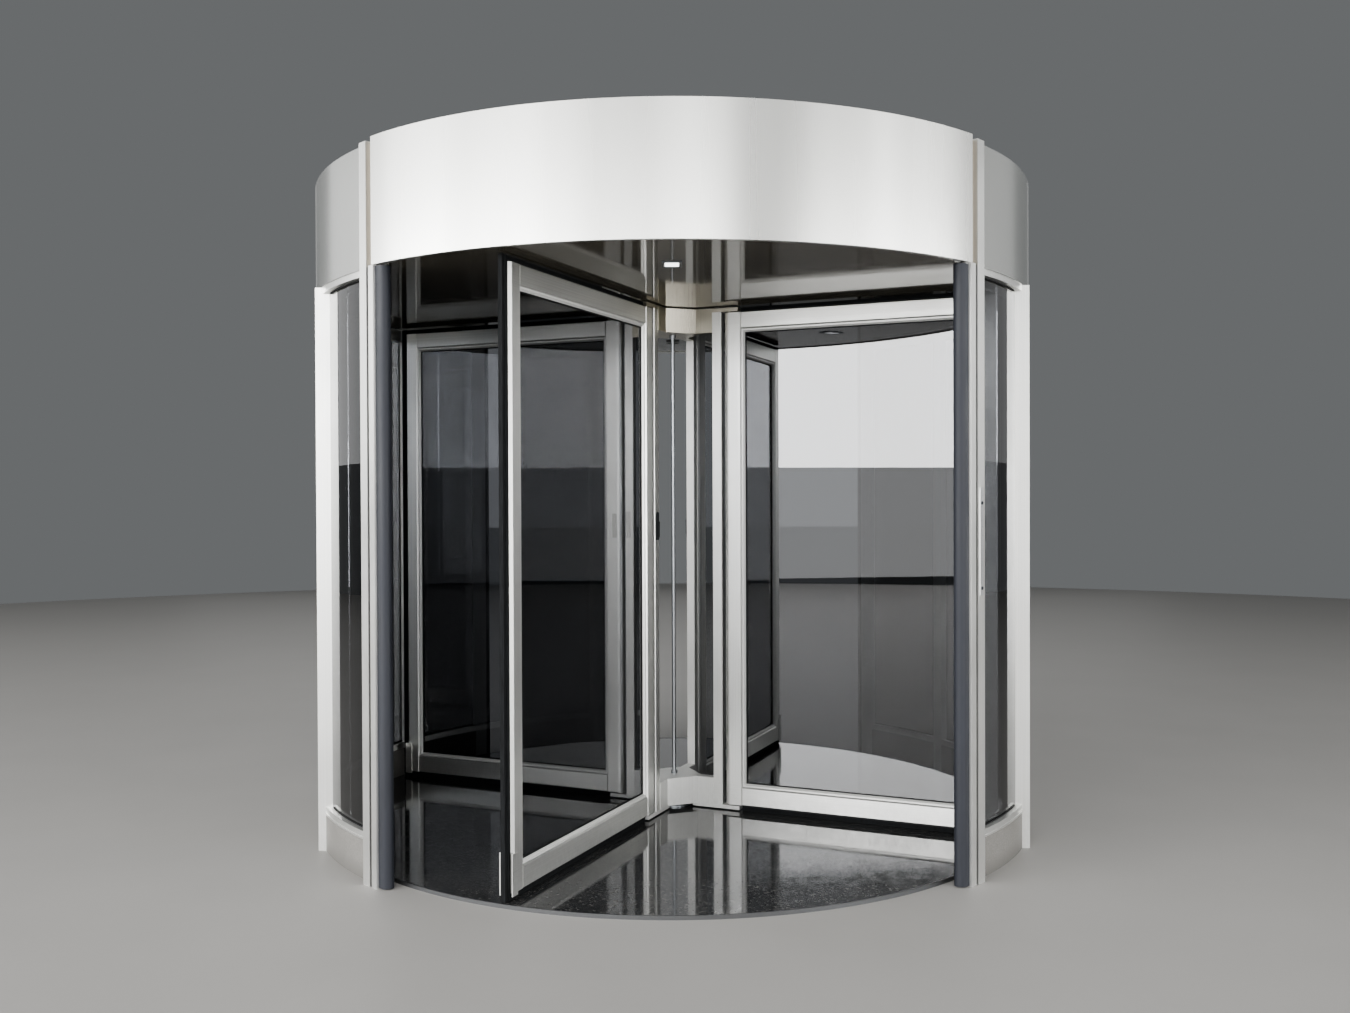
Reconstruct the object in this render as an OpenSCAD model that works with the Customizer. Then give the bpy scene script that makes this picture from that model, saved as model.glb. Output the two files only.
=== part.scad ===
// Four-wing revolving door: a round drum of curved glass between four door posts,
// with a sheet-clad canopy, and a rotor whose four framed wings fold on a centre cage.
// The origin is the drum's axis on the ground. +Z is up and -Y is the street side.

/* [Drum] */
// Inner radius of the curved walls
drum_r = 1600; // [1400:10:2000]
// Depth of the curved wall, from its inner to its outer face
wall_t = 65; // [50:1:90]
// How far the fascia and the door posts stand out from the curved wall
fascia_proud = 35; // [20:1:60]
// Height of the rooms in the drum, from the floor surface to the ceiling
clear_h = 2410; // [2100:10:2700]
// Angle from the street axis to the outboard side of each door post
post_angle = 46; // [43:0.5:50]

/* [Floor] */
// Thickness of the floor disc
floor_t = 15; // [10:1:30]
// Width of the metal trim on the floor's edge
floor_trim_w = 6; // [4:1:12]
// How far the trim stands up from the floor
floor_trim_up = 1; // [0:0.5:3]

/* [Curved walls] */
// Height of the plinth under the glass
kick_h = 160; // [100:5:300]
// Height of the channel that holds the glass at its foot
sill_h = 30; // [24:1:60]
// Height of the glazing channel at the head, on its outer side
head_out_h = 26; // [24:1:50]
// Height of the glazing channel at the head, on its inner side
head_in_h = 62; // [40:1:90]
// Depth to which the glass sits in its channels
glass_bite = 14; // [10:1:18]
// Thickness of the curved glass
wall_glass_t = 12; // [8:1:20]
// Free space beside the glass in a channel
glass_fit = 0.5; // [0.3:0.1:1.5]
// Distance of the jambs from the axis, towards the street and the inside
jamb_y = 695; // [500:5:850]
// Width of a jamb
jamb_w = 60; // [40:1:90]
// How far a jamb stands out sideways past the curved wall
jamb_proud = 19; // [10:1:60]
// Number of segments of the wall between the jambs
mid_segments = 5; // [4:1:8]
// Number of segments of the wall between a jamb and a door post
end_segments = 2; // [2:1:4]

/* [Door posts] */
// Width of the post's bright outer face
face_w = 50; // [30:1:70]
// Width of the dark groove beside it
groove_w = 10; // [6:1:16]
// Depth of that groove
groove_d = 14; // [8:1:24]
// Width of the narrow strip next to the safety edge
strip_w = 35; // [24:1:50]
// Depth of a post, inwards from the fascia's radius
post_depth = 75; // [60:1:95]
// Width of the soft safety edge
edge_w = 45; // [34:1:60]
// Thickness of the safety edge
edge_t = 52; // [40:1:58]

/* [Canopy] */
// Height of the fascia
canopy_h = 495; // [300:5:700]
// Thickness of the canopy's sheet
sheet_t = 4; // [3:1:6]
// Width of the recess between a post's head and the fascia
recess_w = 30; // [20:1:45]
// Depth of that recess
recess_d = 25; // [15:1:40]
// Thickness of the ceiling
ceiling_t = 20; // [12:1:40]
// Distance of the ceiling lamps from the axis
lamp_y = 1210; // [900:10:1400]

/* [Rotor] */
// Angle of the first wing from the +X direction
wing_angle = 66.5; // [0:0.5:89]
// Thickness of a wing's frame
wing_t = 50; // [40:1:60]
// Free space between a wing's seal and the curved wall
tip_gap = 10; // [6:1:20]
// Width of the seal on a wing's outer edge
seal_w = 30; // [20:1:40]
// Thickness of the brushes
seal_t = 18; // [8:1:24]
// Free space between the frame and the floor or the ceiling
rail_gap = 30; // [26:1:60]
// Free space between the seals and the floor or the ceiling
brush_gap = 7; // [5:1:15]
// Width of the stile next to the centre
stile_in_w = 90; // [70:1:130]
// Width of the stile at the outer edge
stile_out_w = 76; // [50:1:100]
// Height of a wing's bottom rail
rail_low_h = 88; // [70:1:160]
// Height of a wing's top rail
rail_top_h = 80; // [70:1:160]
// Thickness of a wing's glass
wing_glass_t = 10; // [6:1:14]
// Height of the metal shoe plates at a wing's outer foot
shoe_h = 160; // [80:5:200]
// Width of the flat that eases the outer stile's edges beside the seal
stile_ease = 13; // [4:1:16]

/* [Centre cage] */
// Distance of the cage posts from the axis
cage_r = 216; // [190:1:240]
// Radial depth of a cage post
cage_d = 46; // [40:1:60]
// Width of a cage post
cage_w = 40; // [30:1:48]
// Free space between a cage post and its wing
cage_gap = 13; // [8:1:18]
// Height of the hub block at the foot
hub_low_h = 130; // [80:1:200]
// Height of the hub block at the head
hub_top_h = 115; // [80:1:200]
// Distance from the axis to the four broad sides of a hub block
hub_face_r = 110; // [95:1:125]
// Radius of the rod on the axis
rod_r = 9; // [6:1:16]
// Radius of a wing's pivot pin
pin_r = 10; // [8:1:14]
// Radial clearance of the running pins
pin_fit = 0.05; // [0.02:0.01:0.1]

/* [Hidden] */
$fn = 96;
arc_fn = 360;
cut = 1;
wing_count = 4;
wall_out_r = drum_r + wall_t;
fascia_r = wall_out_r + fascia_proud;
ceiling_z = floor_t + clear_h;
lip_t = sheet_t;
fascia_z = ceiling_z - lip_t;
canopy_top = fascia_z + canopy_h;
head_drop = 10;
post_top = canopy_top - head_drop;

post_in_r = fascia_r - post_depth;
post_w = face_w + groove_w + strip_w;
post_reach = post_w + edge_w;
strip_back = 3;
slot_neck = 10;
slot_head = 20;
slot_step = 6;
edge_fit = 0.3;
edge_mid_r = fascia_r - 40;
edge_end_gap = 5;
edge_wall = 7;

seam = 0.5;
seat = 0.05;
seam_angle = seam / drum_r * 180 / PI;
side_half = 90 - post_angle;
wall_a = side_half - seam_angle;
fascia_half = post_angle - asin((face_w + recess_w + seam) / post_in_r);

mid_half = asin((jamb_y - jamb_w / 2) / drum_r);
end_from = asin((jamb_y + jamb_w / 2) / drum_r);
jamb_x = sqrt(wall_out_r * wall_out_r - jamb_y * jamb_y) + jamb_proud;
glass_r = drum_r + (wall_t - wall_glass_t) / 2;
head_z = fascia_z;
sill_z = kick_h;
sill_nose = 5;
sill_nose_h = 7;

side_proud = 5;
side_skin_r = wall_out_r + side_proud;
roof_drop = 30;
roof_z = post_top - roof_drop;
roof_t = 3;
lip_w = 20;
return_w = 40;
end_w = 50;
end_angle = sheet_t / fascia_r * 180 / PI;

cage_out_r = cage_r + cage_d;
nose_r = wing_t / 2;
pivot_r = cage_out_r + cage_gap + nose_r;
frame_in_r = pivot_r - nose_r;
tip_r = drum_r - tip_gap;
frame_out_r = tip_r - seal_w;
wing_low = floor_t + rail_gap;
wing_top = ceiling_z - rail_gap;
seal_low = floor_t + brush_gap;
seal_top = ceiling_z - brush_gap;
rebate = 12;
bead = 6;
seal_back = 60;
seal_start = pivot_r + seal_back;
holder_w = 30;
holder_d = 16;
shoe_t = 4;
shoe_in = 30;
shoe_out = 8;
shoe_drop = 10;

arm_t = 18;
arm_gap = 6;
arm_w = 44;
arm_reach = 48;
rail_ease = 3;
arm_low = wing_low - arm_gap - arm_t;
arm_top = wing_top + arm_gap;
pin_l = 40;
hub_lift = 14;
hub_low = arm_low + hub_lift;
hub_over = 1;
hub_top_z = arm_top + arm_t + hub_over;
hub_arm_w = 46;
shaft_r = 45;
shaft_hole = shaft_r + 6;
shaft_l = 62;
foot_r = 20;
foot_l = 30;
foot_end_gap = 4;
foot_plate_r = 80;
foot_plate_t = 8;
bearing_r = 95;
bearing_t = 26;
collar_r = 16;
collar_h = 14;
latch_z = 1315;
latch_h = 130;
latch_d = 22;
latch_t = 13;
knob_r = 6.6;
knob_z = 80;
lever_w = 9;
lever_z = 13;
lever_h = 72;

lamp_w = 66;
lamp_l = 112;
lamp_t = 5;
lamp_rim = 6;
plate_z = 1130;
plate_h = 420;
plate_w = 22;
plate_t = 3;

// A block that follows the drum's curve between two angles
module arc_block(r_in, r_out, z_low, z_high, from, to) {
  rotate([0, 0, from])
    rotate_extrude(angle = to - from, $fn = arc_fn)
      translate([r_in, z_low])
        square([r_out - r_in, z_high - z_low]);
}

// The right-hand curved wall's sweep, or the left-hand one's when flipped
module on_side(left) {
  rotate([0, 0, left ? 180 : 0]) children();
}

// One of the four corners, with X radial and Y running from the post into the doorway
module corner(right, back) {
  way = right == back ? 0 : 1;
  rotate([0, 0, back ? 180 : 0]) mirror([way, 0, 0])
    rotate([0, 0, -90 - post_angle]) children();
}

// The street side and the inside look alike
module front_and_back() {
  children();
  rotate([0, 0, 180]) children();
}

module floor_disc() {
  color("#2b2c2d") difference() {
    cylinder(r = drum_r - seam, h = floor_t, $fn = arc_fn);
    front_and_back() arc_block(drum_r - floor_trim_w, drum_r + cut, -cut, floor_t + cut,
      -90 - post_angle, -90 + post_angle);
  }
}

module floor_edge_trims() {
  color("#b9bbbb") front_and_back() arc_block(drum_r - floor_trim_w + seat, drum_r, 0,
    floor_t + floor_trim_up, -90 - post_angle + seam_angle, -90 + post_angle - seam_angle);
}

// Section of a post beside the doorway: bright face, groove, strip and the safety edge's slot
module post_section() {
  difference() {
    union() {
      translate([post_in_r, 0]) square([post_depth, face_w]);
      translate([post_in_r, face_w - cut]) square([post_depth - groove_d, groove_w + 2 * cut]);
      translate([post_in_r, face_w + groove_w]) square([post_depth - strip_back, strip_w]);
    }
    edge_slot(edge_fit);
  }
}

// The T-shaped foot of the safety edge, grown by a clearance for its slot
module edge_slot(fit) {
  translate([edge_mid_r - slot_neck / 2 - fit, post_w - slot_step - cut])
    square([slot_neck + 2 * fit, slot_step + 2 * cut]);
  translate([edge_mid_r - slot_head / 2 - fit, post_w - 2 * slot_step - fit])
    square([slot_head + 2 * fit, slot_step + 2 * fit]);
}

module door_post(right, back) {
  color("#d6d8d8") corner(right, back) {
    linear_extrude(height = fascia_z - seam) post_section();
    translate([post_in_r, 0, 0]) cube([post_depth, face_w, post_top]);
    translate([post_in_r, 0, fascia_z - seam - cut])
      cube([post_depth - recess_d, face_w + recess_w, post_top - fascia_z + seam + cut]);
  }
}

// Hollow rubber edge with a round nose, held by its foot
module safety_edge(right, back) {
  color("#4a505c") corner(right, back)
    translate([0, 0, edge_end_gap])
      linear_extrude(height = fascia_z - 2 * edge_end_gap) difference() {
        union() {
          edge_slot(0);
          edge_body();
        }
        translate([edge_mid_r, post_w + edge_w / 2]) circle(r = edge_w / 2 - edge_wall);
      }
}

// Outline of the safety edge outside the post, with its round nose
module edge_body() {
  nose = edge_t / 2;
  translate([edge_mid_r - nose, post_w]) square([edge_t, edge_w - nose]);
  intersection() {
    translate([edge_mid_r, post_reach - nose]) circle(r = nose);
    translate([edge_mid_r - nose, post_w]) square([edge_t, edge_w]);
  }
}

// Room for the jambs in what runs past them, and the joints between the wall's segments
module wall_cuts() {
  for (way = [-1, 1])
    translate([0, way * jamb_y - jamb_w / 2 - seam, -cut])
      cube([2 * fascia_r, jamb_w + 2 * seam, head_z + 2 * cut]);
  for (i = [1 : mid_segments - 1]) joint_cut(mid_half * (2 * i / mid_segments - 1));
  for (way = [-1, 1], i = [1 : end_segments - 1])
    joint_cut(way * (end_from + (side_half - end_from) * i / end_segments));
}

// One upright joint through the wall
module joint_cut(turn) {
  rotate([0, 0, turn]) translate([drum_r - wall_t, -seam / 2, -cut])
    cube([3 * wall_t, seam, head_z + 2 * cut]);
}

module wall_jambs(left) {
  color("#d9dbdb") on_side(left) difference() {
    for (way = [-1, 1])
      translate([drum_r / 2, way * jamb_y - jamb_w / 2, 0])
        cube([jamb_x - drum_r / 2, jamb_w, head_z]);
    translate([0, 0, -cut]) cylinder(r = drum_r, h = head_z + 2 * cut, $fn = arc_fn);
  }
}

module wall_plinth(left) {
  color("#9a9894") on_side(left) difference() {
    arc_block(drum_r, wall_out_r, 0, kick_h, -wall_a, wall_a);
    wall_cuts();
  }
}

// Section of the foot channel with its bright nose, and of the head channel
module channel_section() {
  groove = wall_glass_t + 2 * glass_fit;
  difference() {
    union() {
      translate([drum_r, sill_z]) square([wall_t, sill_h]);
      translate([wall_out_r - cut, sill_z]) square([sill_nose + cut, sill_nose_h]);
    }
    translate([glass_r - glass_fit, sill_z + sill_h - glass_bite])
      square([groove, glass_bite + cut]);
  }
  difference() {
    union() {
      translate([drum_r, head_z - head_out_h]) square([wall_t, head_out_h]);
      translate([drum_r, head_z - head_in_h]) square([glass_r - glass_fit - drum_r, head_in_h]);
    }
    translate([glass_r - glass_fit, head_z - head_out_h - cut])
      square([groove, glass_bite + cut]);
  }
}

module wall_channels(left) {
  color("#dfe1e1") on_side(left) difference() {
    rotate([0, 0, -wall_a]) rotate_extrude(angle = 2 * wall_a, $fn = arc_fn) channel_section();
    wall_cuts();
  }
}

module wall_glass(left) {
  color("#6f7a80", 0.5) on_side(left) difference() {
    arc_block(glass_r, glass_r + wall_glass_t, sill_z + sill_h - glass_bite,
      head_z - head_out_h + glass_bite, -wall_a, wall_a);
    wall_cuts();
  }
}

// Sheet cassette of the canopy: skin, top return, bottom lip and the roof's shelf
module cassette_section(skin_r, top, lip) {
  translate([skin_r - sheet_t, fascia_z]) square([sheet_t, top - fascia_z]);
  translate([skin_r - return_w, top - sheet_t]) square([return_w, sheet_t]);
  translate([skin_r - lip, fascia_z]) square([lip, lip_t]);
  translate([drum_r, roof_z - sheet_t]) square([skin_r - drum_r - sheet_t / 2, sheet_t]);
}

module canopy_street() {
  rotate([0, 0, -90 - fascia_half])
    rotate_extrude(angle = 2 * fascia_half, $fn = arc_fn) cassette_section(fascia_r, canopy_top, lip_w);
  for (side = [-1, 1]) rotate([0, 0, -90 + side * (fascia_half - end_angle)])
    arc_block(fascia_r - end_w, fascia_r - sheet_t / 2, fascia_z + lip_t / 2,
      canopy_top - sheet_t / 2, -end_angle / 2, end_angle / 2);
}

module canopy_front() {
  color("#eceded") canopy_street();
}

module canopy_back() {
  color("#eceded") rotate([0, 0, 180]) canopy_street();
}

module canopy_side(left) {
  color("#c9cbcb") on_side(left) rotate([0, 0, -wall_a])
    rotate_extrude(angle = 2 * wall_a, $fn = arc_fn)
      cassette_section(side_skin_r, post_top, side_skin_r - drum_r);
}

module ceiling() {
  color("#26282a") difference() {
    union() {
      translate([0, 0, ceiling_z + seat])
        cylinder(r = post_in_r - seam, h = ceiling_t - seat, $fn = arc_fn);
      front_and_back()
        arc_block(drum_r, fascia_r - sheet_t - seam, ceiling_z + seat, ceiling_z + ceiling_t,
          -90 - fascia_half + 1, -90 + fascia_half - 1);
    }
    translate([0, 0, ceiling_z - cut]) cylinder(r = shaft_hole, h = ceiling_t + 2 * cut);
    front_and_back() lamp_body(seam, ceiling_t + 2 * cut);
  }
}

// One lamp in the ceiling, or its cut-out when grown
module lamp_body(fit, height) {
  translate([-lamp_w / 2 - fit, -lamp_y - lamp_l / 2 - fit, ceiling_z - (fit > 0 ? cut : 2)])
    cube([lamp_w + 2 * fit, lamp_l + 2 * fit, height]);
}

module ceiling_lamps() {
  color("white") front_and_back() {
    lamp_body(0, ceiling_t + 2);
    translate([-lamp_w / 2 - lamp_rim, -lamp_y - lamp_l / 2 - lamp_rim, ceiling_z + ceiling_t])
      cube([lamp_w + 2 * lamp_rim, lamp_l + 2 * lamp_rim, lamp_t]);
  }
}

module canopy_roof() {
  color("#a9adb0") translate([0, 0, roof_z + seat])
    cylinder(r = post_in_r - seam, h = roof_t, $fn = arc_fn);
}

// Long cover plate of the key switch on the front right post
module post_plate() {
  color("#e4e6e6") corner(true, false)
    translate([fascia_r, (face_w - plate_w) / 2, plate_z]) cube([plate_t, plate_w, plate_h]);
}

module shaft_bearings() {
  color("#8d9194") {
    translate([0, 0, floor_t]) cylinder(r = foot_plate_r, h = foot_plate_t);
    translate([0, 0, floor_t])
      cylinder(r = foot_r, h = hub_low - floor_t + foot_l - foot_end_gap);
    difference() {
      translate([0, 0, ceiling_z + ceiling_t]) cylinder(r = bearing_r, h = bearing_t);
      translate([0, 0, ceiling_z])
        cylinder(r = shaft_r + pin_fit, h = ceiling_t + bearing_t + cut);
    }
  }
}

// Hub plan: four arms to the cage posts, with a broad side between each two
module hub_plan() {
  half = hub_arm_w / 2;
  step = hub_face_r * sqrt(2) - half;
  side = [[cage_r, -half], [cage_r, half], [step, half], [half, step]];
  polygon([for (turn = [0 : 90 : 270], p = side)
    [p[0] * cos(turn) - p[1] * sin(turn), p[0] * sin(turn) + p[1] * cos(turn)]]);
}

// Four arms that carry the wings' pivots
module pivot_arms() {
  for (k = [0 : wing_count - 1]) rotate([0, 0, k * 90]) {
    translate([cage_r / 2, -arm_w / 2, 0])
      cube([pivot_r + arm_reach - cage_r / 2, arm_w, arm_t]);
  }
}

module hub_bottom() {
  color("#c8caca") rotate([0, 0, wing_angle]) difference() {
    union() {
      translate([0, 0, hub_low]) linear_extrude(height = hub_low_h) hub_plan();
      translate([0, 0, arm_low]) pivot_arms();
      for (k = [0 : wing_count - 1]) rotate([0, 0, k * 90])
        translate([pivot_r, 0, arm_low]) cylinder(r = pin_r, h = arm_t + arm_gap + pin_l);
    }
    translate([0, 0, hub_low - cut]) cylinder(r = foot_r + pin_fit, h = foot_l + cut);
  }
}

module hub_top() {
  color("#b8b09f") rotate([0, 0, wing_angle]) {
    translate([0, 0, hub_top_z - hub_top_h]) linear_extrude(height = hub_top_h) hub_plan();
    translate([0, 0, arm_top]) pivot_arms();
    for (k = [0 : wing_count - 1]) rotate([0, 0, k * 90])
      translate([pivot_r, 0, arm_top - arm_gap - pin_l]) cylinder(r = pin_r, h = arm_t + arm_gap + pin_l);
    translate([0, 0, hub_top_z - cut]) cylinder(r = shaft_r, h = shaft_l + cut);
  }
}

module centre_rod() {
  low = hub_low + hub_low_h;
  high = hub_top_z - hub_top_h;
  color("#b4b8bb") {
    translate([0, 0, low]) cylinder(r = rod_r, h = high - low);
    translate([0, 0, low]) cylinder(r = collar_r, h = collar_h);
    translate([0, 0, high - collar_h]) cylinder(r = collar_r, h = collar_h);
  }
}

// Slim posts that stand between the lower and the upper pivot arms
module cage_posts() {
  edge = 3;
  color("#d2d4d4") for (k = [0 : wing_count - 1]) rotate([0, 0, wing_angle + k * 90])
    translate([cage_r, -cage_w / 2, arm_low + arm_t])
      linear_extrude(height = arm_top - arm_low - arm_t)
        polygon([
          [0, 0], [cage_d - edge, 0], [cage_d, edge],
          [cage_d, cage_w - edge], [cage_d - edge, cage_w], [0, cage_w]
        ]);
}

// Black latch levers on the cage posts, which hold the wings open to a right angle
module cage_latches() {
  color("#1d1e20") for (k = [0 : wing_count - 1]) rotate([0, 0, wing_angle + k * 90])
    translate([cage_r + (cage_d - latch_d) / 2, cage_w / 2, latch_z]) {
      cube([latch_d, latch_t / 2, latch_h]);
      translate([latch_d / 2, latch_t / 2, knob_z])
        rotate([-90, 0, 0]) cylinder(r = knob_r, h = latch_t / 2);
      translate([(latch_d - lever_w) / 2, latch_t / 2, lever_z])
        cube([lever_w, latch_t / 2, lever_h]);
    }
}

// Turns a wing drawn along +X to its place
module on_wing(k) {
  rotate([0, 0, wing_angle + (k - 1) * 360 / wing_count]) children();
}

// Section of a stile or rail: eased outer edges, and a bead chamfer and the glass rebate on the inner side
module stile_section(width, ease) {
  half = wing_t / 2;
  slot = wing_glass_t / 2 + glass_fit;
  inner = [[width - bead, -half], [width, bead - half], [width, half - bead], [width - bead, half]];
  outer = ease > 0
    ? [[ease, half], [0, half - ease], [0, ease - half], [ease, -half]]
    : [[0, half], [0, -half]];
  difference() {
    polygon(concat(inner, outer));
    translate([width - rebate, -slot]) square([rebate + cut, 2 * slot]);
  }
}

// A rail between the stiles, drawn as a section and laid along the wing
module rail(height) {
  from = frame_in_r + stile_in_w;
  to = frame_out_r - stile_out_w;
  translate([from - cut / 2, 0, 0])
    rotate([0, -90, 0]) mirror([0, 0, 1])
      linear_extrude(height = to - from + cut) stile_section(height, rail_ease);
}

module wing_frame(k) {
  tall = wing_top - wing_low;
  color("#cfd1d1") on_wing(k) difference() {
    union() {
      translate([pivot_r, 0, wing_low]) cylinder(r = nose_r, h = tall);
      translate([pivot_r, 0, wing_low])
        linear_extrude(height = tall) stile_section(stile_in_w - nose_r, 0);
      translate([frame_out_r, 0, wing_low])
        linear_extrude(height = tall) mirror([1, 0]) stile_section(stile_out_w, stile_ease);
      translate([0, 0, wing_low]) rail(rail_low_h);
      translate([0, 0, wing_top]) mirror([0, 0, 1]) rail(rail_top_h);
      for (way = [0, 1]) mirror([0, way, 0])
        translate([frame_out_r - shoe_in, wing_t / 2 - cut, wing_low - shoe_drop])
          cube([shoe_in + shoe_out, shoe_t + cut, shoe_h]);
    }
    for (z = [wing_low - cut, wing_top - pin_l - arm_gap + cut])
      translate([pivot_r, 0, z]) cylinder(r = pin_r + pin_fit, h = pin_l + arm_gap);
  }
}

module wing_glass(k) {
  grip = rebate - 2;
  from = frame_in_r + stile_in_w - grip;
  to = frame_out_r - stile_out_w + grip;
  low = wing_low + rail_low_h - grip;
  high = wing_top - rail_top_h + grip;
  color("#5d6a72", 0.5) on_wing(k)
    translate([from, -wing_glass_t / 2, low]) cube([to - from, wing_glass_t, high - low]);
}

// Brush seals at the head, the foot and the outer edge, where a broad holder covers the stile's end
module wing_seals(k) {
  tall = seal_top - seal_low;
  color("#18191a") on_wing(k) {
    translate([seal_start, -seal_t / 2, wing_top])
      cube([tip_r - seal_start, seal_t, seal_top - wing_top]);
    translate([seal_start, -seal_t / 2, seal_low])
      cube([tip_r - seal_start, seal_t, wing_low - seal_low]);
    translate([frame_out_r, -holder_w / 2, seal_low]) cube([holder_d, holder_w, tall]);
    translate([frame_out_r + holder_d - cut, -seal_t / 2, seal_low])
      cube([seal_w - holder_d + cut, seal_t, tall]);
  }
}

floor_disc();
floor_edge_trims();
door_post(false, false);  // door_post_front_left
door_post(true, false);  // door_post_front_right
door_post(false, true);  // door_post_back_left
door_post(true, true);  // door_post_back_right
safety_edge(false, false);  // safety_edge_front_left
safety_edge(true, false);  // safety_edge_front_right
safety_edge(false, true);  // safety_edge_back_left
safety_edge(true, true);  // safety_edge_back_right
wall_jambs(true);  // wall_jambs_left
wall_jambs(false);  // wall_jambs_right
wall_plinth(true);  // wall_plinth_left
wall_plinth(false);  // wall_plinth_right
wall_channels(true);  // wall_channels_left
wall_channels(false);  // wall_channels_right
wall_glass(true);  // wall_glass_left
wall_glass(false);  // wall_glass_right
canopy_front();
canopy_back();
canopy_side(true);  // canopy_left
canopy_side(false);  // canopy_right
ceiling();
ceiling_lamps();
canopy_roof();
post_plate();
shaft_bearings();
hub_bottom();
hub_top();
centre_rod();
cage_posts();
cage_latches();
wing_frame(1);  // wing_frame_1
wing_frame(2);  // wing_frame_2
wing_frame(3);  // wing_frame_3
wing_frame(4);  // wing_frame_4
wing_glass(1);  // wing_glass_1
wing_glass(2);  // wing_glass_2
wing_glass(3);  // wing_glass_3
wing_glass(4);  // wing_glass_4
wing_seals(1);  // wing_seals_1
wing_seals(2);  // wing_seals_2
wing_seals(3);  // wing_seals_3
wing_seals(4);  // wing_seals_4
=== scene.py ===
"""Looks of the four-wing revolving door: finishes, glazing and sealing details, and the stage.

It is laid out as an add-on and run as a script. Lengths are in metres, in the frame of the CAD
model: the origin is the drum's axis on the ground, +Z is up and -Y is the street side.
"""

import math

import bmesh
import bpy
from mathutils import Matrix, Vector


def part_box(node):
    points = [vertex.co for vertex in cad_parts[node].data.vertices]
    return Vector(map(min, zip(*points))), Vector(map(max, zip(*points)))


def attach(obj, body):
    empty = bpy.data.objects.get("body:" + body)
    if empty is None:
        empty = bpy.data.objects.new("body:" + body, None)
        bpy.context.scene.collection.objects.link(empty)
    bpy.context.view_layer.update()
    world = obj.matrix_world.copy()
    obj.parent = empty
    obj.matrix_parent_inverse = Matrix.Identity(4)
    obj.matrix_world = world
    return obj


bl_info = {
    "name": "Revolving door",
    "version": (1, 0, 0),
    "blender": (4, 5, 0),
    "location": "3D View > Sidebar > Revolving door",
    "description": "Dresses a four-wing revolving door and sets its stage",
    "category": "3D View",
}

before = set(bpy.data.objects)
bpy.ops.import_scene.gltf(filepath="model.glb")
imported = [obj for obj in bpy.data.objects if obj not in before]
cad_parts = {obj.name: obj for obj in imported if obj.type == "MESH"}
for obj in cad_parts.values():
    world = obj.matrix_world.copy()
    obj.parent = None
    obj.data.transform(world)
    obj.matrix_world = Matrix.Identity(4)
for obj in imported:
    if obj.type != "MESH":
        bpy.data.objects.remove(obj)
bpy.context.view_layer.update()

WINGS = (1, 2, 3, 4)
SIDES = ("left", "right")
QUARTER = math.pi / 2
# Radius of the studio floor. The front softboxes stand on its edge.
STUDIO = 15.0


def linear(hex_colour):
    """Linear RGBA of an sRGB hex colour."""
    channels = [int(hex_colour[i : i + 2], 16) / 255 for i in (1, 3, 5)]
    return shade([c / 12.92 if c <= 0.04045 else ((c + 0.055) / 1.055) ** 2.4 for c in channels])


def shade(base, share=1.0):
    """RGBA of a linear colour, made darker or lighter by a share."""
    return tuple(c * share for c in base[:3]) + (1.0,)


def length(name, description, default):
    """A property that holds a length in metres."""
    return bpy.props.FloatProperty(
        name=name, description=description, default=default, precision=4, unit="LENGTH"
    )


def angle(name, description, default):
    """A property that holds an angle in radians."""
    return bpy.props.FloatProperty(
        name=name, description=description, default=default, unit="ROTATION"
    )


def colour(name, description, default):
    """A property that holds a colour, from its sRGB hex value."""
    return bpy.props.FloatVectorProperty(
        name=name, description=description, default=linear(default)[:3],
        size=3, min=0, max=1, subtype="COLOR",
    )


def number(name, description, default):
    """A property that holds a plain number."""
    return bpy.props.FloatProperty(name=name, description=description, default=default)


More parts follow.
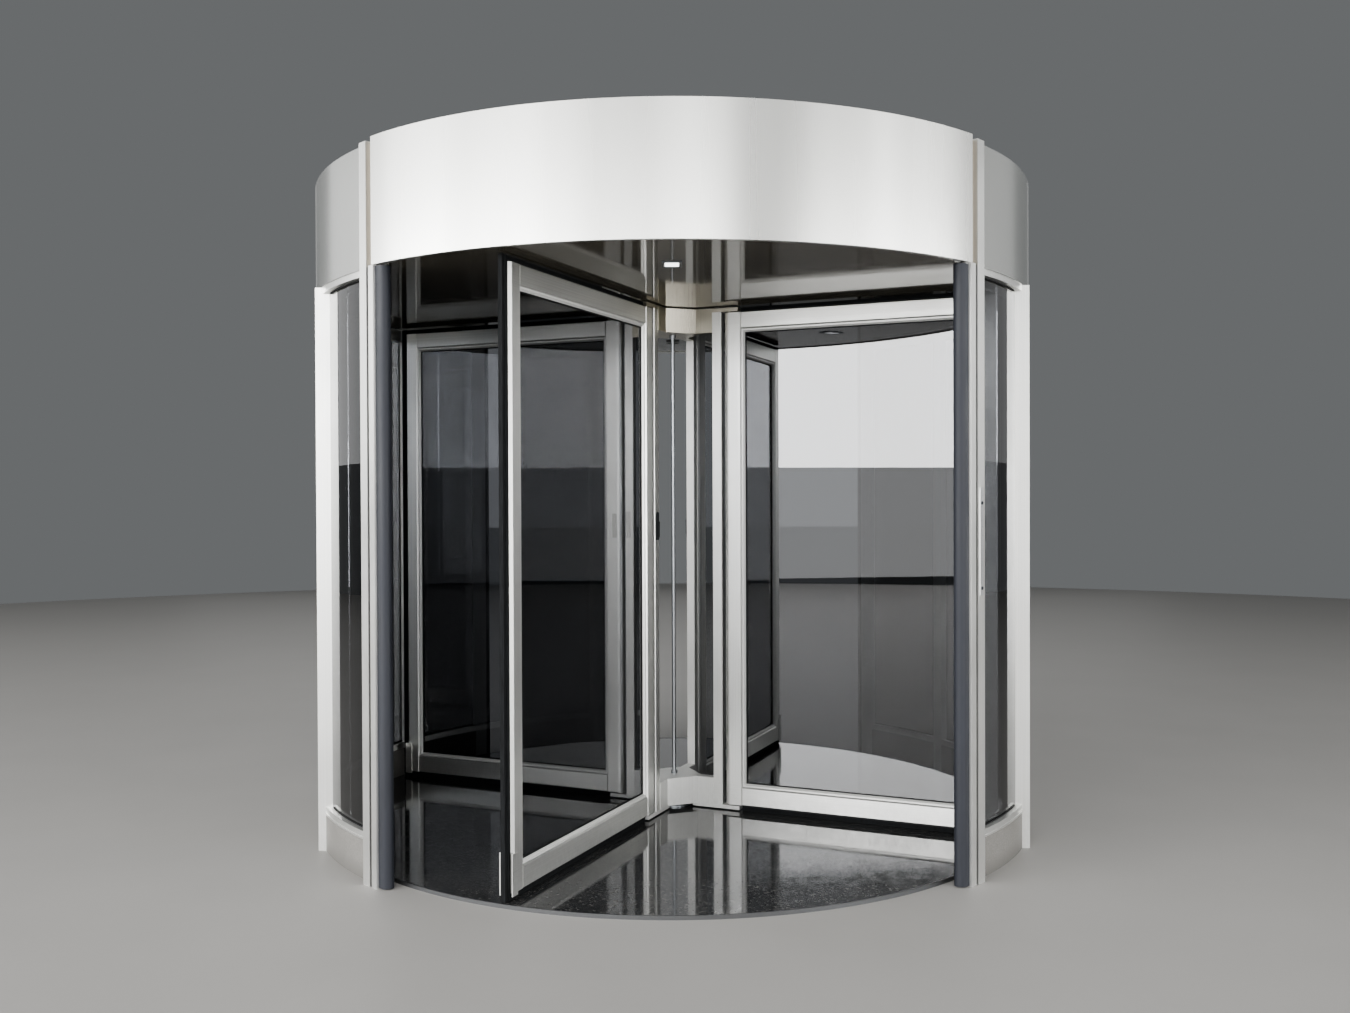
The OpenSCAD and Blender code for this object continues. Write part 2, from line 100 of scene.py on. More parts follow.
class DoorSizes(bpy.types.PropertyGroup):
    """Sizes that the fitted pieces take from the door. Distances are from the drum's axis."""

    wing_turn: angle("Wing angle", "Angle of the first wing from +X", math.radians(66.5))
    wing_low: length("Wing, foot", "Height of a wing frame's lower edge", 0.045)
    wing_high: length("Wing, head", "Height of a wing frame's upper edge", 2.395)
    wing_out: length("Wing, edge", "Distance of a wing frame's outer edge", 1.560)
    wing_face: length("Wing, face", "Distance of a wing frame's face from the wing's middle", 0.025)
    glass_in: length("Glass, inner edge", "Distance of a wing's glass opening", 0.365)
    glass_out: length("Glass, outer edge", "Distance of the opening's outer edge", 1.484)
    glass_low: length("Glass, foot", "Height of the opening's foot", 0.133)
    glass_high: length("Glass, head", "Height of the opening's head", 2.315)
    pane_t: length("Pane", "Thickness of a wing's glass", 0.010)
    bead_w: length("Bead width", "Width of the glazing beads on the glass", 0.015)
    bead_t: length("Bead depth", "How far a glazing bead stands off the glass", 0.013)
    gasket_w: length("Gasket width", "Width of the rubber line between bead and glass", 0.005)
    gasket_t: length("Gasket depth", "How far that line stands off the glass", 0.003)
    seal_from: length("Seal start", "Distance at which the head and foot seals start", 0.360)
    seal_to: length("Seal end", "Distance at which the bristle tips end", 1.586)
    seal_t: length("Seal", "Thickness of the brush seals", 0.018)
    tip_low: length("Tips, foot", "Height of the bristle tips' lower end", 0.0156)
    tip_high: length("Tips, head", "Height of the bristle tips' upper end", 0.0240)
    keeper_z: length("Keeper height", "Height of the latch keepers' lower end", 1.315)
    pane_in: length("Curved glass, inner", "Inner radius of the curved glass", 1.6265)
    pane_out: length("Curved glass, outer", "Outer radius of the curved glass", 1.6385)
    sill_top: length("Sill", "Height of the foot channel's upper edge", 0.190)
    head_low: length("Head, outside", "Height of the head channel's outer lower edge", 2.395)
    ceiling: length("Ceiling", "Height of the ceiling", 2.425)
    lamp_out: length("Lamp", "Distance of a ceiling lamp's middle", 1.210)
    post_turn: angle("Post angle", "Angle of a post from the doorway's middle", math.radians(46))
    post_face: length("Post face", "Distance of a door post's outer face", 1.703)
    face_w: length("Post face width", "Width of a door post's outer face", 0.050)
    groove_w: length("Post groove width", "Width of the groove beside that face", 0.010)
    recess_w: length("Recess width", "Width of the recess beside a post's head", 0.030)


class DoorColours(bpy.types.PropertyGroup):
    """Colours of the door's finishes."""

    aluminium: colour("Aluminium", "Satin anodised aluminium of posts and frames", "#e4e4e1")
    fascia: colour("Fascia", "Coated sheet of the canopy's fascia", "#e9e9e5")
    side_sheet: colour("Side panels", "Semi-gloss sheet of the canopy's sides", "#bdbebb")
    # The hub's darker, warm tint is painted shade and warm light on the aluminium of the hub block.
    hub: colour("Hub", "Anodised aluminium of the hub block at the head", "#b9b4a7")
    # The tan of the recess strips is painted shade in the recess beside each post's head.
    recess: colour("Recess strips", "Strips of painted shade beside the posts' heads", "#b5aa9b")
    granite: colour("Granite", "Polished granite of the floor", "#242526")
    plinth: colour("Plinth", "Honed stone of the plinth", "#7f7d79")
    glass: colour("Glass", "Body tint of the glass", "#7b7d81")
    rubber: colour("Rubber", "Rubber of the safety edges", "#26282e")
    black: colour("Black", "Black plastic, gaskets and brushes", "#141516")
    ceiling: colour("Ceiling", "Gloss sheet of the ceiling", "#59554c")
    floor: colour("Studio floor", "Pale floor round the door", "#a3a19e")
    room: colour("Studio room", "Plain grey of the studio beyond the floor", "#6b6d6e")


class DoorStage(bpy.types.PropertyGroup):
    """Camera and light of the stage. A light is named for where it stands, seen from the camera."""

    eye_x: length("Camera, sideways", "Position of the camera along X", 0.0086)
    eye_y: length("Camera, distance", "Position of the camera along Y", -5.947)
    eye_z: length("Camera, height", "Height of the camera", 1.527)
    lens: number("Lens", "Focal length in millimetres on a 36 mm wide sensor", 32.414)
    pitch: angle("Pitch", "How far the camera looks up", -0.0096)
    roll: angle("Roll", "Roll of the camera", -0.0038)
    left: number("Left light", "Brightness of the left softbox's middle", 11.5)
    front: number("Front light", "Brightness of the front softbox's middle", 6.0)
    right: number("Right light", "Brightness of the right softbox's middle", 5.6)
    high: number("High share", "Brightness of these softboxes' heads as a share", 0.12)
    left_foot: number("Left foot", "Brightness of the left softbox's foot as a share", 0.14)
    front_foot: number("Front foot", "Brightness of the front softbox's foot as a share", 0.3)
    right_foot: number("Right foot", "Brightness of the right softbox's foot as a share", 0.4)
    low_right: number("Low right light", "Brightness of the narrow softbox low on the right", 7.5)
    far_left: number("Far left light", "Brightness of the softbox on the left side", 0.7)
    far_right: number("Far right light", "Brightness of the softbox on the right side", 0.25)
    back: number("Back light", "Brightness of the high softbox behind the door", 0.8)
    back_low: number("Back share", "Brightness of the low softbox behind the door as a share", 0.3)
    top: number("Top light", "Brightness of the overhead softbox", 1.3)
    room: number("Room light", "Brightness of the plain room", 1.0)


# Materials

MAP_RANGE = "ShaderNodeMapRange"
MATH = "ShaderNodeMath"
MIX = "ShaderNodeMix"
BUMP = "ShaderNodeBump"

# The colour sockets of a Mix node share their names with others, so they go by number.
FIRST, SECOND, MIXED = 6, 7, 2

# Nearly all of a noise lies between these values.
SPAN = (0.3, 0.7)


def feed(tree, node, inputs):
    """Fills inputs that are given by name or in order. A socket is linked, other values are set."""
    named = inputs if isinstance(inputs, dict) else dict(enumerate(inputs))
    for key, value in named.items():
        if isinstance(value, bpy.types.NodeSocket):
            tree.links.new(value, node.inputs[key])
        else:
            node.inputs[key].default_value = value


def add_node(tree, kind, inputs=(), out=0, **settings):
    """Adds a node with its settings and links, and returns one of its outputs."""
    made = tree.nodes.new(kind)
    for key, value in settings.items():
        setattr(made, key, value)
    feed(tree, made, inputs)
    return made.outputs[out]


def start_material(name, base, metallic, roughness, **constants):
    """A material with one Principled shader whose constants are set on its own sockets."""
    made = bpy.data.materials.new(name)
    made.use_nodes = True
    made.diffuse_color = shade(base)
    tree = made.node_tree
    shader = tree.nodes["Principled BSDF"]
    feed(tree, shader, {"Base Color": shade(base), "Metallic": metallic, "Roughness": roughness})
    feed(tree, shader, {key.replace("_", " "): value for key, value in constants.items()})
    return made, tree, shader


def noise_at(tree, size_mm, detail=2.0, rough=0.5):
    """Noise whose blobs measure about size_mm along X, Y and Z of the object."""
    place = add_node(tree, "ShaderNodeTexCoord", out="Object")
    scale = [1000 / size for size in size_mm]
    scaled = add_node(tree, "ShaderNodeMapping", {"Vector": place, "Scale": scale})
    return add_node(
        tree, "ShaderNodeTexNoise",
        {"Vector": scaled, "Scale": 1.0, "Detail": detail, "Roughness": rough}, "Fac",
    )


def below(tree, low, high, axis="Z"):
    """1 below low and 0 above high, in metres along an axis of the door."""
    place = add_node(tree, "ShaderNodeTexCoord", out="Object")
    along = add_node(tree, "ShaderNodeSeparateXYZ", (place,), axis)
    return add_node(tree, MAP_RANGE, (along, low, high, 1.0, 0.0))


def anodised_aluminium(name, base, roughness, rails=None, metallic=0.92):
    """Extruded and satin anodised aluminium: a soft, broad gloss over a milky coat, with faint
    draw lines and hand smudges, duller near the ground."""
    made, tree, shader = start_material(name, base, metallic, roughness)
    # Draw lines are under 0.2 mm wide; they are drawn 2 mm wide so that they show. They run up the
    # stiles and along the rails, which lie below the first height in rails and above the second.
    lines = noise_at(tree, (2, 2, 900), 3.0)
    if rails:
        mitre = 0.002
        along = noise_at(tree, (900, 900, 2), 3.0)
        foot = below(tree, rails[0] - mitre, rails[0])
        head = below(tree, rails[1], rails[1] + mitre)
        upright = add_node(tree, MATH, (head, foot), operation="SUBTRACT")
        lines = add_node(tree, MIX, {0: upright, 2: along, 3: lines})
    smudge = noise_at(tree, (260, 260, 420), 3.0, 0.6)
    # Darker, rougher patches over the lowest 160 mm, fading out upwards.
    low_patch_noise = noise_at(tree, (18, 18, 30), 4.0, 0.7)
    towards_floor = below(tree, 0.02, 0.16)
    low_patches = add_node(tree, MAP_RANGE, (low_patch_noise, *SPAN, 0.0, 1.0))
    low_marks = add_node(tree, MATH, (low_patches, towards_floor), operation="MULTIPLY")
    drawn = add_node(tree, MAP_RANGE, (lines, *SPAN, roughness - 0.03, roughness + 0.03))
    touched = add_node(tree, MAP_RANGE, (smudge, *SPAN, -0.03, 0.05))
    clean = add_node(tree, MATH, (drawn, touched), operation="ADD")
    dulled = add_node(tree, MATH, (low_marks, 0.15, clean), operation="MULTIPLY_ADD")
    tone = shade(base)
    for share, dark in (
        (add_node(tree, MAP_RANGE, (lines, *SPAN, 0.0, 1.0)), 0.86),
        (add_node(tree, MAP_RANGE, (smudge, *SPAN, 0.0, 0.3)), 0.84),
        (low_marks, 0.8),
    ):
        mixed = {0: share, FIRST: tone, SECOND: shade(base, dark)}
        tone = add_node(tree, MIX, mixed, MIXED, data_type="RGBA")
    feed(tree, shader, {"Base Color": tone, "Roughness": dulled})
    return made


def coated_fascia_sheet(base):
    """Coil-coated aluminium sheet with a metallic satin coat: rolling leaves broad, soft upright
    bands of tone."""
    made, tree, shader = start_material(
        "Coated aluminium fascia", base, 0.75, 0.27, Coat_Weight=0.15, Coat_Roughness=0.25
    )
    bands = noise_at(tree, (310, 310, 30000), 1.5, 0.4)
    fine = noise_at(tree, (160, 160, 5000), 1.0)
    share = add_node(tree, MAP_RANGE, (bands, 0.35, 0.65, 0.0, 1.0))
    mixed = {0: share, FIRST: shade(base), SECOND: shade(base, 0.74)}
    tone = add_node(tree, MIX, mixed, MIXED, data_type="RGBA")
    gloss = add_node(tree, MAP_RANGE, (fine, *SPAN, 0.26, 0.29))
    rolled = add_node(tree, BUMP, {"Height": bands, "Strength": 0.4, "Distance": 0.0006})
    feed(tree, shader, {"Base Color": tone, "Roughness": gloss, "Normal": rolled})
    return made


def semi_gloss_sheet(base):
    """Metallic painted sheet of the side panels: glossier than the fascia, with a blurred
    reflection and slight waves."""
    made, tree, shader = start_material(
        "Semi-gloss painted sheet", base, 0.8, 0.24, Coat_Weight=0.3, Coat_Roughness=0.12
    )
    waves = noise_at(tree, (420, 420, 650), 1.0)
    share = add_node(tree, MAP_RANGE, (waves, *SPAN, 0.0, 1.0))
    mixed = {0: share, FIRST: shade(base), SECOND: shade(base, 0.95)}
    tone = add_node(tree, MIX, mixed, MIXED, data_type="RGBA")
    sprayed = noise_at(tree, (300, 300, 460), 1.0)
    gloss = add_node(tree, MAP_RANGE, (sprayed, *SPAN, 0.22, 0.26))
    wavy = add_node(tree, BUMP, {"Height": waves, "Strength": 0.2, "Distance": 0.0005})
    feed(tree, shader, {"Base Color": tone, "Roughness": gloss, "Normal": wavy})
    return made


def mill_finish_sheet(name, base):
    """Plain mill-finish aluminium sheet of the roof: dull, with faint rolling streaks and dust
    that no one wipes off."""
    made, tree, shader = start_material(name, base, 0.9, 0.5)
    streaks = noise_at(tree, (900, 12, 900), 3.0)
    dust = noise_at(tree, (150, 150, 150), 5.0, 0.6)
    share = add_node(tree, MAP_RANGE, (dust, 0.35, 0.8, 0.0, 0.5))
    mixed = {0: share, FIRST: shade(base), SECOND: linear("#8d8a84")}
    tone = add_node(tree, MIX, mixed, MIXED, data_type="RGBA")
    gloss = add_node(tree, MAP_RANGE, (streaks, *SPAN, 0.42, 0.58))
    feed(tree, shader, {"Base Color": tone, "Roughness": gloss})
    return made


def polished_granite(base):
    """Dark polished granite: a mirror-like polish over small grey and pale crystals."""
    made, tree, shader = start_material(
        "Polished dark granite", base, 0.0, 0.06, Specular_IOR_Level=0.9
    )
    place = add_node(tree, "ShaderNodeTexCoord", out="Object")
    # Crystals are 1 to 4 mm wide; they are drawn 7 mm wide so that they show.
    grains = add_node(
        tree, "ShaderNodeTexVoronoi",
        {"Vector": place, "Scale": 1000 / 7.0, "Randomness": 1.0}, "Color",
    )
    chance = add_node(tree, "ShaderNodeSeparateColor", (grains,))
    pale = add_node(tree, MAP_RANGE, (chance, 0.62, 0.97, 0.0, 0.55))
    clouds = noise_at(tree, (340, 340, 340), 4.0)
    share = add_node(tree, MAP_RANGE, (clouds, *SPAN, 0.0, 1.0))
    mixed = {0: share, FIRST: shade(base), SECOND: shade(base, 1.9)}
    ground = add_node(tree, MIX, mixed, MIXED, data_type="RGBA")
    mixed = {0: pale, FIRST: ground, SECOND: linear("#75736f")}
    flecked = add_node(tree, MIX, mixed, MIXED, data_type="RGBA")
    trodden = noise_at(tree, (60, 60, 60), 4.0)
    gloss = add_node(tree, MAP_RANGE, (trodden, *SPAN, 0.03, 0.11))
    feed(tree, shader, {"Base Color": flecked, "Roughness": gloss})
    return made


def honed_stone(base):
    """Honed granite of the plinth: matt and mottled, and a little darker towards its foot."""
    made, tree, shader = start_material("Honed granite plinth", base, 0.0, 0.5)
    # Grains of about 2 mm, drawn 6 mm wide so that they show.
    grains = noise_at(tree, (6, 6, 6), 5.0, 0.7)
    clouds = noise_at(tree, (160, 160, 90), 4.0)
    share = add_node(tree, MAP_RANGE, (grains, 0.36, 0.64, 0.0, 1.0))
    mixed = {0: share, FIRST: shade(base, 0.72), SECOND: shade(base, 1.22)}
    tone = add_node(tree, MIX, mixed, MIXED, data_type="RGBA")
    for share, dark in (
        (add_node(tree, MAP_RANGE, (clouds, *SPAN, 0.0, 0.35)), 0.75),
        (below(tree, 0.0, 0.07), 0.66),
    ):
        mixed = {0: share, FIRST: tone, SECOND: shade(base, dark)}
        tone = add_node(tree, MIX, mixed, MIXED, data_type="RGBA")
    gloss = add_node(tree, MAP_RANGE, (grains, *SPAN, 0.42, 0.6))
    pitted = add_node(tree, BUMP, {"Height": grains, "Strength": 0.4, "Distance": 0.00025})
    feed(tree, shader, {"Base Color": tone, "Roughness": gloss, "Normal": pitted})
    return made


def coated_glass(name, tint):
    """Tinted safety glass with a reflective coat: clear enough to show the frames behind, with a
    strong mirror image."""
    made, tree, shader = start_material(
        name, tint, 0.0, 0.0, Transmission_Weight=1.0, IOR=1.7, Specular_IOR_Level=1.0
    )
    # Rain marks and finger films, in upright blots that blur the mirror image by a trace.
    film = noise_at(tree, (70, 70, 190), 5.0, 0.65)
    feed(tree, shader, {"Roughness": add_node(tree, MAP_RANGE, (film, 0.5, 0.8, 0.0, 0.01))})
    return made


def moulded_rubber(name, base, roughness=0.55):
    """Extruded EPDM rubber: matt, with a faint bloom and a fine skin."""
    made, tree, shader = start_material(name, base, 0.0, roughness, Specular_IOR_Level=0.4)
    bloom = noise_at(tree, (40, 40, 260), 4.0, 0.6)
    # The skin's grain is under 0.5 mm wide; it is drawn 2.5 mm wide so that it shows.
    skin = noise_at(tree, (2.5, 2.5, 2.5), 2.0)
    share = add_node(tree, MAP_RANGE, (bloom, *SPAN, 0.0, 1.0))
    mixed = {0: share, FIRST: shade(base), SECOND: shade(base, 1.45)}
    tone = add_node(tree, MIX, mixed, MIXED, data_type="RGBA")
    gloss = add_node(tree, MAP_RANGE, (bloom, *SPAN, roughness - 0.08, roughness + 0.1))
    grained = add_node(tree, BUMP, {"Height": skin, "Strength": 0.3, "Distance": 0.00005})
    feed(tree, shader, {"Base Color": tone, "Roughness": gloss, "Normal": grained})
    return made


def brush_bristles(base):
    """Black polypropylene brush: upright bristles in tufts, which take away all gloss."""
    made, tree, shader = start_material("Brush bristles", base, 0.0, 0.85, Specular_IOR_Level=0.2)
    # Bristles are 0.2 mm thick; tufts are drawn 3 mm wide so that they show.
    tufts = noise_at(tree, (3, 3, 60), 3.0, 0.7)
    share = add_node(tree, MAP_RANGE, (tufts, *SPAN, 0.0, 1.0))
    mixed = {0: share, FIRST: shade(base, 0.5), SECOND: shade(base, 2.6)}
    tone = add_node(tree, MIX, mixed, MIXED, data_type="RGBA")
    tufted = add_node(tree, BUMP, {"Height": tufts, "Strength": 0.8, "Distance": 0.0012})
    feed(tree, shader, {"Base Color": tone, "Normal": tufted})
    return made


def moulded_plastic(name, base):
    """Glass-filled nylon mouldings of the latches: nearly no gloss, with a fine eroded grain."""
    made, tree, shader = start_material(name, base, 0.0, 0.42, Specular_IOR_Level=0.1)
    # The grain is about 0.1 mm wide; it is drawn 1.5 mm wide so that it shows.
    grain = noise_at(tree, (1.5, 1.5, 1.5), 2.0)
    share = add_node(tree, MAP_RANGE, (grain, *SPAN, 0.0, 1.0))
    mixed = {0: share, FIRST: shade(base), SECOND: shade(base, 1.6)}
    tone = add_node(tree, MIX, mixed, MIXED, data_type="RGBA")
    gloss = add_node(tree, MAP_RANGE, (grain, *SPAN, 0.36, 0.5))
    grained = add_node(tree, BUMP, {"Height": grain, "Strength": 0.4, "Distance": 0.00005})
    feed(tree, shader, {"Base Color": tone, "Roughness": gloss, "Normal": grained})
    return made


def gloss_ceiling(base):
    """Dark high-gloss composite sheet of the ceiling, slightly wavy between its fixings."""
    made, tree, shader = start_material(
        "Gloss ceiling sheet", base, 0.0, 0.06,
        Specular_IOR_Level=0.35, Specular_Tint=linear("#fff5e4"),
    )
    waves = noise_at(tree, (520, 520, 520), 1.0)
    share = add_node(tree, MAP_RANGE, (waves, *SPAN, 0.0, 1.0))
    mixed = {0: share, FIRST: shade(base), SECOND: shade(base, 1.3)}
    tone = add_node(tree, MIX, mixed, MIXED, data_type="RGBA")
    wiped = noise_at(tree, (80, 80, 80), 3.0)
    gloss = add_node(tree, MAP_RANGE, (wiped, *SPAN, 0.04, 0.1))
    wavy = add_node(tree, BUMP, {"Height": waves, "Strength": 0.25, "Distance": 0.0007})
    feed(tree, shader, {"Base Color": tone, "Roughness": gloss, "Normal": wavy})
    return made


def lamp_lens():
    """Opal acrylic lens, lit from behind. Only the lamp on the street side is on."""
    made, tree, shader = start_material(
        "Opal lamp lens", linear("#4c4f52"), 0.0, 0.35, Emission_Strength=3.0
    )
    mixed = {0: below(tree, -0.1, 0.1, "Y"), FIRST: linear("#000000"), SECOND: linear("#fbfcff")}
    lit = add_node(tree, MIX, mixed, MIXED, data_type="RGBA")
    frosted = noise_at(tree, (30, 30, 30), 2.0)
    gloss = add_node(tree, MAP_RANGE, (frosted, *SPAN, 0.3, 0.42))
    feed(tree, shader, {"Emission Color": lit, "Roughness": gloss})
    return made


def machined_steel(name, base, roughness):
    """Stainless steel with a machined and polished skin: close, bright highlights with fine
    turning marks."""
    made, tree, shader = start_material(name, base, 1.0, roughness)
    # The marks are under 0.1 mm wide; they are drawn 2.5 mm wide so that they show.
    marks = noise_at(tree, (60, 60, 2.5), 2.0)
    share = add_node(tree, MAP_RANGE, (marks, *SPAN, 0.0, 1.0))
    mixed = {0: share, FIRST: shade(base), SECOND: shade(base, 0.9)}
    tone = add_node(tree, MIX, mixed, MIXED, data_type="RGBA")
    gloss = add_node(tree, MAP_RANGE, (marks, *SPAN, roughness - 0.03, roughness + 0.05))
    feed(tree, shader, {"Base Color": tone, "Roughness": gloss})
    return made


def painted_floor(base):
    """Matt floor paint of the studio, pale round the door and a little darker far from it."""
    made, tree, shader = start_material("Matt studio floor", base, 0.0, 0.55)
    mottle = noise_at(tree, (700, 700, 700), 5.0)
    place = add_node(tree, "ShaderNodeTexCoord", out="Object")
    away = add_node(tree, "ShaderNodeVectorMath", (place,), "Value", operation="LENGTH")
    tone = shade(base)
    for share, dark in (
        (add_node(tree, MAP_RANGE, (mottle, *SPAN, 0.0, 1.0)), 0.95),
        (add_node(tree, MAP_RANGE, (away, 2.6, 12.0, 0.0, 1.0)), 0.75),
    ):
        mixed = {0: share, FIRST: tone, SECOND: shade(base, dark)}
        tone = add_node(tree, MIX, mixed, MIXED, data_type="RGBA")
    feed(tree, shader, {"Base Color": tone})
    return made


FINISHES = {}


def finish(name):
    """The finish of that name, made when it is first asked for."""
    if name not in FINISHES:
        c = bpy.context.scene.door_colours
        sizes = bpy.context.scene.door_sizes
        rails = (sizes.glass_low + sizes.bead_w, sizes.glass_high - sizes.bead_w)
        satin = "Satin anodised aluminium, "
        recipes = {
            "post": lambda: anodised_aluminium(satin + "posts", c.aluminium, 0.33),
            "wing": lambda: anodised_aluminium(satin + "wings", c.aluminium, 0.36, rails, 0.9),
            "bead": lambda: anodised_aluminium(satin + "beads", c.aluminium, 0.3, rails, 0.3),
            "wall": lambda: anodised_aluminium(satin + "wall", c.aluminium, 0.36),
            # Painted shade and warm light: the hub block takes a darker, warm copy of the
            # aluminium.
            "hub": lambda: anodised_aluminium(satin + "hub", c.hub, 0.28),
            "hub_foot": lambda: anodised_aluminium(
                "Matt anodised aluminium, hub foot", c.aluminium, 0.42, metallic=0.4
            ),
            # A tan sheet of painted shade lines the recess beside each post's head.
            "recess": lambda: anodised_aluminium(
                "Painted shade, recess strips", c.recess, 0.45, metallic=0.5
            ),
            "fascia": lambda: coated_fascia_sheet(c.fascia),
            "side": lambda: semi_gloss_sheet(c.side_sheet),
            "roof": lambda: mill_finish_sheet("Mill-finish roof sheet", linear("#a4a7a9")),
            "granite": lambda: polished_granite(c.granite),
            "plinth": lambda: honed_stone(c.plinth),
            "wing_glass": lambda: coated_glass("Coated safety glass, wings", c.glass),
            "wall_glass": lambda: coated_glass("Coated safety glass, curved", shade(c.glass, 0.37)),
            "rubber": lambda: moulded_rubber("EPDM rubber, safety edges", c.rubber),
            "gasket": lambda: moulded_rubber("EPDM rubber, gaskets", c.black, 0.6),
            "brush": lambda: brush_bristles(c.black),
            "plastic": lambda: moulded_plastic("Black nylon, keepers", c.black),
            "latch": lambda: moulded_plastic("Dark grey nylon, latches", linear("#2c2e30")),
            "ceiling": lambda: gloss_ceiling(c.ceiling),
            "lens": lamp_lens,
            "rod": lambda: machined_steel("Satin stainless steel, rod", linear("#a4a7aa"), 0.3),
            "plate": lambda: machined_steel(
                "Brushed stainless steel, plate", linear("#dddede"), 0.3
            ),
            "bearing": lambda: machined_steel("Turned steel, bearings", linear("#8f9396"), 0.35),
            "trim": lambda: machined_steel(
                "Worn stainless steel, floor trim", linear("#6f7071"), 0.45
            ),
            "screw": lambda: machined_steel(
                "Dark stainless steel, screws and bezels", linear("#55585b"), 0.3
            ),
            "studio": lambda: painted_floor(c.floor),
        }
        FINISHES[name] = recipes[name]()
    return FINISHES[name]


# Shapes


def put(bm, name, look, body):
    """Makes a finished mesh a piece that rides on a body."""
    bmesh.ops.recalc_face_normals(bm, faces=bm.faces)
    mesh = bpy.data.meshes.new(name)
    bm.to_mesh(mesh)
    bm.free()
    mesh.materials.append(finish(look))
    piece = bpy.data.objects.new(name, mesh)
    bpy.context.scene.collection.objects.link(piece)
    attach(piece, body)


def turned(bm, verts, turn):
    """Turns vertices round the drum's axis."""
    bmesh.ops.transform(bm, matrix=Matrix.Rotation(turn, 4, "Z"), verts=verts)


def bar(bm, low, high, edge):
    """A bar between two corners with eased edges. Returns its vertices."""
    low, high = Vector(low), Vector(high)
    made = bmesh.ops.create_cube(bm, size=1.0)["verts"]
    bmesh.ops.scale(bm, vec=high - low, verts=made)
    bmesh.ops.translate(bm, vec=(low + high) / 2, verts=made)
    edges = list({e for v in made for e in v.link_edges})
    eased = bmesh.ops.bevel(
        bm, geom=edges, offset=edge, segments=2, profile=0.5, affect="EDGES", material=-1,
        clamp_overlap=True,
    )
    faces = {f for v in eased["verts"] for f in v.link_faces}
    return list({v for f in faces for v in f.verts})


def picture_frame(bm, low, high, width, start, end, slope):
    """A flat frame inside a rectangle of the XZ plane, from Y start to Y end. Its inner edge is
    sloped at the end."""
    size_x, size_z = high[0] - low[0], high[1] - low[1]
    middle = Vector(((low[0] + high[0]) / 2, start, (low[1] + high[1]) / 2))
    made = bmesh.ops.create_grid(bm, x_segments=1, y_segments=1, size=0.5)["verts"]
    bmesh.ops.scale(bm, vec=(size_x, size_z, 1.0), verts=made)
    bmesh.ops.rotate(bm, matrix=Matrix.Rotation(QUARTER, 3, "X"), verts=made)
    bmesh.ops.translate(bm, vec=middle, verts=made)
    inner = made[0].link_faces[0]
    ring = bmesh.ops.inset_region(
        bm, faces=[inner], thickness=width, use_boundary=True, use_even_offset=True
    )["faces"]
    bmesh.ops.delete(bm, geom=[inner], context="FACES_ONLY")
    pushed = bmesh.ops.extrude_face_region(bm, geom=ring)["geom"]
    top = [g for g in pushed if isinstance(g, bmesh.types.BMVert)]
    bmesh.ops.translate(bm, vec=(0, end - start, 0), verts=top)
    # The corners of the inner edge are those inside the middle line of the frame's width.
    near_x, near_z = (size_x - width) / 2, (size_z - width) / 2
    near = {
        v for v in top
        if abs(v.co.x - middle.x) < near_x and abs(v.co.z - middle.z) < near_z
    }
    rims = [e for e in {e for v in near for e in v.link_edges} if set(e.verts) <= near]
    bmesh.ops.bevel(
        bm, geom=rims, offset=slope, segments=1, profile=0.5, affect="EDGES", material=-1
    )


def arc_bar(bm, r_low, r_high, z_low, z_high, start, end):
    """A bar that follows the drum's curve between two angles in degrees."""
    made = bmesh.ops.create_grid(bm, x_segments=1, y_segments=1, size=0.5)["verts"]
    bmesh.ops.scale(bm, vec=(r_high - r_low, z_high - z_low, 1.0), verts=made)
    bmesh.ops.rotate(bm, matrix=Matrix.Rotation(QUARTER, 3, "X"), verts=made)
    bmesh.ops.translate(bm, vec=((r_low + r_high) / 2, 0, (z_low + z_high) / 2), verts=made)
    turned(bm, made, math.radians(start))
    face = made[0].link_faces[0]
    # Steps of two degrees at most keep the curve smooth.
    bmesh.ops.spin(
        bm, geom=[face, *face.edges, *face.verts], cent=(0, 0, 0), axis=(0, 0, 1),
        angle=math.radians(end - start), steps=math.ceil((end - start) / 2),
    )


def button_screw(bm, at, outward, radius):
    """A button-head screw with a round socket. Its head stands on a point of a face."""
    height, top_radius, rim, depth = radius * 0.5, radius * 0.72, radius * 0.3, radius * 0.3
    others = set(bm.verts)
    head = bmesh.ops.create_cone(
        bm, cap_ends=True, segments=24, radius1=radius, radius2=top_radius, depth=height
    )["verts"]
    top = max({f for v in head for f in v.link_faces}, key=lambda f: f.calc_center_median().z)
    bmesh.ops.inset_region(bm, faces=[top], thickness=rim)
    sunk = bmesh.ops.extrude_face_region(bm, geom=[top])["geom"]
    low = [g for g in sunk if isinstance(g, bmesh.types.BMVert)]
    bmesh.ops.translate(bm, vec=(0, 0, -depth), verts=low)
    bmesh.ops.delete(bm, geom=[top], context="FACES_ONLY")
    made = [v for v in bm.verts if v not in others]
    bmesh.ops.translate(bm, vec=(0, 0, height / 2), verts=made)
    turn = Vector((0, 0, 1)).rotation_difference(Vector(outward)).to_matrix().to_4x4()
    bmesh.ops.transform(bm, matrix=Matrix.Translation(Vector(at)) @ turn, verts=made)


def at_posts(bm, low, high, edge):
    """Sets one bar at each of the four door posts. X runs outwards, and Y along the post's face
    from its far edge towards the doorway."""
    post_turn = bpy.context.scene.door_sizes.post_turn
    for right in (False, True):
        for back in (False, True):
            made = bar(bm, low, high, edge)
            turned(bm, made, -QUARTER - post_turn)
            if right != back:
                bmesh.ops.scale(bm, vec=(-1, 1, 1), verts=made)
            if back:
                turned(bm, made, math.pi)


def to_wing(bm, sizes, k):
    """Turns all that is made along +X to the place of a wing."""
    turned(bm, bm.verts, sizes.wing_turn + (k - 1) * QUARTER)


# Operators


